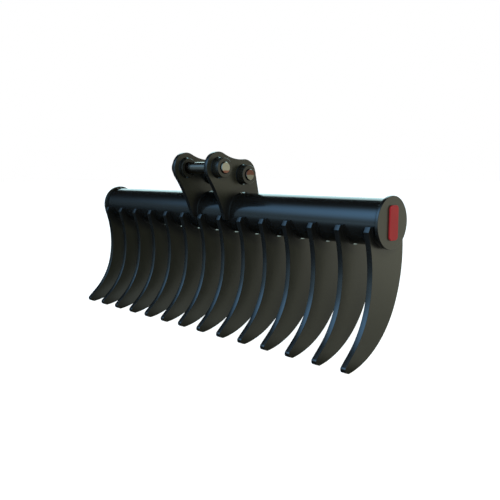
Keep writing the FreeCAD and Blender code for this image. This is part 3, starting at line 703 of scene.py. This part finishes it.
def beadRing(centre, faceX, way, radius, first, last, seed):
    # one bead round an axis along X, on a grid of the angle a and of t, from the leg on the plate (t = 0) to
    # the leg on the round (t = 1): across = leg * t + b and up = leg * (1 - t) + b. b = (bulge * sin(pi t)
    # + depth * sin(phase) * sin(pi t)^0.7 / leg) * sin 45, and phase = the ripples' turns along a, less
    # lean * sin(pi t), so that they lean like the rings of a stack of coins
    closed = abs(last - first) > fullTurn - 0.001
    ripples = round(abs(last - first) * (radius + weld["leg"] / 2) / weld["ripple"])
    steps = ripples * weld["perRipple"]
    a = np.linspace(first, last, steps if closed else steps + 1, endpoint=not closed)
    t = np.linspace(0, 1, weld["across"])[None, :]
    middle = np.sin(t * math.pi)
    leg = weld["leg"] - weld["short"] + weld["swell"] * beadSwell(a, closed, seed)[:, None]
    phase = (a - first)[:, None] * ripples / (last - first) * fullTurn - weld["lean"] * middle
    crest = weld["rippleDepth"] * np.sin(phase) * middle ** weld["rippleEnds"]
    bulge = (weld["bulge"] * middle + crest / leg) * math.sin(math.pi / 4)
    half, sink = weld["leg"] / 2, -weld["sink"]
    back = np.ones((len(a), 1))  # the three corners behind the face
    across = np.hstack([leg * t + bulge, half * back, sink * back, sink * back])
    up = np.hstack([leg * (1 - t) + bulge, sink * back, sink * back, half * back])
    y, z = (radius + up) * np.cos(a)[:, None], (radius + up) * np.sin(a)[:, None]
    points = np.stack([faceX + way * across, centre[0] + y, centre[1] + z], -1)
    columns = points.shape[1]
    loops = gridLoops(len(a), columns, closedRows=closed, closedColumns=True)
    points = points.reshape(-1, 3) * mm
    if not closed:
        loops += [list(range(columns))[::-1], list(range((len(a) - 1) * columns, len(a) * columns))]
    return points, outward(points, loops)


def beads(name, node, rings):
    points, loops, start = [], [], 0
    for ring in rings:
        ringPoints, ringLoops = beadRing(*ring, seed=len(points))
        points.append(ringPoints)
        loops += [[index + start for index in loop] for loop in ringLoops]
        start += len(ringPoints)
    meshPiece(name, np.vstack(points), loops, beadPaint, [node])


def plateFaces(middles, half):
    # where both faces of each plate are, and which way each looks
    return [(middle + way * half, way) for middle in middles for way in (-1, 1)]


horn, foot = math.asin(tine["hornTop"] / notch), footAngle()
tineFaces = plateFaces(tine["stations"], tineHalf)
earFaces = plateFaces((-ear["middle"], ear["middle"]), ear["half"])
beads(
    "tineBeads", "tine_welds",
    [(tubeAxis, *face, tube["radius"], horn - math.pi, -horn) for face in tineFaces],
)
beads(
    "earBeads", "ear_welds",
    [(tubeAxis, *face, tube["radius"], -foot, math.pi + foot) for face in earFaces],
)
beads(
    "bossBeads", "boss_welds",
    [(place, *face, bossRadius, 0.0, fullTurn) for place in pinPlaces.values() for face in earFaces],
)
beads(
    "capBeads", "cap_welds",
    [(tubeAxis, sign * tube["half"], -sign, tube["radius"], 0.0, fullTurn) for sign in bothSides.values()],
)
print("weld beads made")


# Studio
studio = {
    "ambient": 0.7,  # share of the room's brightness that lights dull surfaces
    "room": (0.02, 0.02, 0.02),
    # soft cool lights: the middle, the cosines of the angles from it where it starts and would be full, the tone
    "core": ((-0.414, -0.726, 0.549), (0.842, 1.206), (1.78, 4.48, 8.18)),
    "skirt": ((0.057, -0.932, 0.359), (0.279, 1.202), (0.95, 1.51, 1.93)),
    "wallSide": (0.3, 0.95),  # the white wall stands on this side; the room is dim on the other
    "wallEdge": (-0.05, 0.30),
    "wallTop": (0.12, 0.38),  # rise of a ray that meets the wall's top edge
    "wallCool": (0.84, 0.99, 1.0),  # on its left
    "wallWarm": (0.88, 0.88, 0.68),  # on its right
    "wallTurn": (-0.6, 0.6),
    "strip": (1.7, 2.5, 2.6),  # the long light over the wall
    "stripSlope": 0.72, "stripEdge": (0.0, 0.10), "stripFoot": (0.10, 0.30), "stripEnd": (-0.35, 0.15),
    "floorTone": (0.60, 0.60, 0.59), "floorRoughness": 0.9,
    "floorDim": (0.05, 0.05, 0.05),  # what gloss sees of the paper on the dim side
    "floorNear": (0.95, 0.48),  # painted shade: brightness of the paper's glow by the rake beside the wall, left and right
    "floorSides": (-0.6, 0.9),  # m, over which it goes from one to the other
    "floorEdge": (-0.05, 0.11),  # m back, over which that starts
    "floorFar": (0.25, 2.2),  # m back, over which it comes up to the wall's brightness
    "floorWarm": (0.98, 0.98, 0.78),  # on its right
    "floorTurn": (-1.5, 1.5),  # m
    "floorFade": (0.3, 3.0),  # m, over which the cool lights in front show on the paper
    "floorGlow": 0.92,  # of a strength of 1, which is white; the rest is the light that falls on it
    "floorReach": 30.0,  # m
}
key = {
    "place": (5.2, -3.4, 1.6), "target": (0.0, 0.1, -0.25),  # m
    "size": 2.0,  # m
    "power": 320,  # W
    "color": (1.0, 0.98, 0.80),
}

lampData = bpy.data.lights.new("warmKey", "AREA")
lampData.shape, lampData.size = "SQUARE", key["size"]
lampData.energy, lampData.color = key["power"], key["color"]
lamp = bpy.data.objects.new("warmKey", lampData)
lamp.location = key["place"]
lamp.rotation_euler = (Vector(key["target"]) - Vector(key["place"])).to_track_quat("-Z", "Y").to_euler()
lamp.visible_camera = lamp.visible_glossy = False  # gloss sees the room's own lights instead
bpy.context.scene.collection.objects.link(lamp)


def lightRays(graph):
    kinds = ("Camera", "Glossy", "Transmission")
    return [graph.add("ShaderNodeLightPath", out=f"Is {kind} Ray") for kind in kinds]


def softLight(graph, way, under, name):
    # adds a round light that fades with the cosine of the angle between a ray and its middle
    middle, edges, color = studio[name]
    facing = graph.add("ShaderNodeVectorMath", {"operation": "DOT_PRODUCT"}, {0: way, 1: middle}, out=1)
    return graph.blend(facing.between(*edges), under, color, "ADD")


world = Graph(bpy.data.worlds.new("studioWorld"))
bpy.context.scene.world = world.owner
world.owner.cycles.sampling_method = "NONE"
cameraRay, glossyRay, glassRay = lightRays(world)
way = world.add("ShaderNodeTexCoord", out="Generated")
across, along, rise = axes(world, way)
dim = softLight(world, way, softLight(world, way, studio["room"], "core"), "skirt")
wall = world.blend(across.between(*studio["wallTurn"]), studio["wallCool"], studio["wallWarm"])
towardsWall = across * studio["wallSide"][0] + along * studio["wallSide"][1]
wallShare = towardsWall.between(*studio["wallEdge"]) * (1 - rise.between(*studio["wallTop"]))
stripShare = (along - rise * studio["stripSlope"]).between(*studio["stripEdge"])
stripShare = stripShare * rise.between(*studio["stripFoot"]) * (-across).between(*studio["stripEnd"])
room = world.blend(stripShare, world.blend(wallShare, dim, wall), studio["strip"])
direct = world.blend(cameraRay, room, (1, 1, 1))
share = cameraRay.most(glossyRay).most(glassRay).most(studio["ambient"])
world.tree.links.new(direct.socket, world.tree.nodes["Background"].inputs["Color"])
world.tree.links.new(share.socket, world.tree.nodes["Background"].inputs["Strength"])


def floorPaper():
    # white paper to the camera, where the shadow falls. Gloss sees the wall's light on it behind the rake and
    # the cool lights in front, by how far off and which way a place lies. It is clear from below, for the view
    # of the underside
    graph = Graph(bpy.data.materials.new("floorPaper"))
    shader = graph.tree.nodes["Principled BSDF"]
    shader.inputs["Roughness"].default_value = studio["floorRoughness"]
    shader.inputs["Specular IOR Level"].default_value = 0.0
    cameraRay, glossyRay, glassRay = lightRays(graph)
    flat = graph.coordinates(scale=(1, 1, 0))
    across, along, _ = axes(graph, flat)
    left, right = studio["floorNear"]
    # painted shade: gloss sees the paper dimmer by the rake, coming up to the wall's brightness further back
    near = left - across.between(*studio["floorSides"]) * (left - right)
    behind = along.between(*studio["floorEdge"]) * near
    behind = behind + along.between(*studio["floorFar"]) * (1 - near)
    paper = graph.blend(glossyRay, studio["floorTone"], studio["floorDim"])
    graph.tree.links.new(paper.socket, shader.inputs["Base Color"])
    mirrored = glossyRay.most(glassRay)
    away = graph.add("ShaderNodeVectorMath", {"operation": "LENGTH"}, {0: flat}, out=1)
    outwards = graph.add("ShaderNodeVectorMath", {"operation": "NORMALIZE"}, {0: flat})
    skirt = softLight(graph, outwards, (0, 0, 0), "skirt")
    cool = graph.blend(away.between(*studio["floorFade"]), (0, 0, 0), skirt)
    wall = graph.blend(across.between(*studio["floorTurn"]), studio["wallCool"], studio["floorWarm"])
    tint = graph.blend(cameraRay, graph.blend(behind, cool, wall), (1, 1, 1))
    strength = cameraRay.most(mirrored) * studio["floorGlow"]
    glow = graph.add("ShaderNodeEmission", None, {"Color": tint, "Strength": strength})
    both = graph.add("ShaderNodeAddShader", None, {0: Wire(graph, shader.outputs[0]), 1: glow})
    below = graph.add("ShaderNodeNewGeometry", out="Backfacing")
    clear = graph.add("ShaderNodeBsdfTransparent")
    sheet = graph.add("ShaderNodeMixShader", None, {0: below, 1: both, 2: clear})
    graph.tree.links.new(sheet.socket, graph.tree.nodes["Material Output"].inputs["Surface"])
    return graph.owner


reach, height = studio["floorReach"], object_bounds()[0].z
corners = [(x * reach, y * reach, height) for x, y in ((-1, -1), (1, -1), (1, 1), (-1, 1))]
floorMesh = bpy.data.meshes.new("studioFloor")
floorMesh.from_pydata(corners, [], [[0, 1, 2, 3]])
floorMesh.materials.append(floorPaper())
floorSheet = bpy.data.objects.new("studioFloor", floorMesh)
bpy.context.scene.collection.objects.link(floorSheet)
bpy.context.scene.view_settings.view_transform = "Standard"
print("studio lit")
